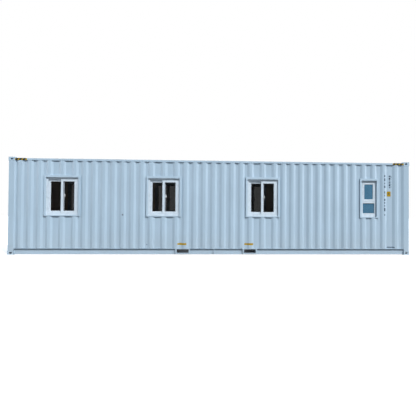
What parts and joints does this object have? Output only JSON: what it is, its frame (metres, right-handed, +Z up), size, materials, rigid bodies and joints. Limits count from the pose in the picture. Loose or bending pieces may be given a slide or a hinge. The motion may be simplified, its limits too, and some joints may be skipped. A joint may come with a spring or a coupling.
{
  "type": "shipping container cabin",
  "caption": "Long corrugated steel container made into a cabin, with sliding windows in both long sides, an insulated lining, a floor and cargo doors at one end.",
  "frame": {"origin": "on the ground, under the middle of the container", "axes": "+X along the container, from the cargo doors to the closed end; +Y across it, from the front long side to the back one; +Z up"},
  "size_m": [12.192, 2.438, 2.896],
  "materials": {
    "body_paint": "satin light blue-grey paint, slightly weathered",
    "casting_paint": "satin light blue-grey paint over cast steel",
    "surround_paint": "satin light blue-grey paint, newer than the walls",
    "base_paint": "matt dark underbody coating",
    "plywood": "varnished plywood",
    "lining_board": "off-white laminate board",
    "white_plastic": "smooth white window profile",
    "clear_glass": "clear, slightly grey",
    "frosted_glass": "frosted, blue-grey",
    "latch_metal": "satin",
    "seal_rubber": "matt black",
    "galvanised_steel": "galvanised, dulled",
    "cap_plastic": "matt dark grey",
    "plate_paint": "yellow enamel plate with plain dark bars"
  },
  "bodies": {
    "root": {"bottom_corner_castings": "casting_paint", "top_corner_castings": "casting_paint", "door_end_posts": "body_paint", "closed_end_posts": "body_paint", "front_top_rail": "body_paint", "back_top_rail": "body_paint", "front_bottom_rail": "body_paint", "back_bottom_rail": "body_paint", "door_header": "body_paint", "door_sill": "body_paint", "closed_end_header": "body_paint", "closed_end_sill": "body_paint", "front_wall": "body_paint", "back_wall": "body_paint", "closed_end_wall": "body_paint", "roof": "body_paint", "corner_plates": "body_paint", "cross_members": "base_paint", "fork_pockets": "body_paint", "floor": "plywood", "front_lining": "lining_board", "back_lining": "lining_board", "closed_end_lining": "lining_board", "ceiling": "lining_board", "front_window_surrounds": "surround_paint", "back_window_surrounds": "surround_paint", "front_window_frames": "white_plastic", "back_window_frames": "white_plastic", "outer_sashes": "white_plastic", "inner_sashes": "white_plastic", "vent_sashes": "white_plastic", "clear_panes": "clear_glass", "frosted_panes": "frosted_glass", "window_latches": "latch_metal", "left_cargo_door": "body_paint", "right_cargo_door": "body_paint", "door_seals": "seal_rubber", "locking_bars": "galvanised_steel", "bar_keepers": "galvanised_steel", "bar_guides": "galvanised_steel", "door_handles": "galvanised_steel", "door_hinges": "body_paint", "outlet_caps": "cap_plastic", "data_plate": "plate_paint"}
  },
  "joints": []
}
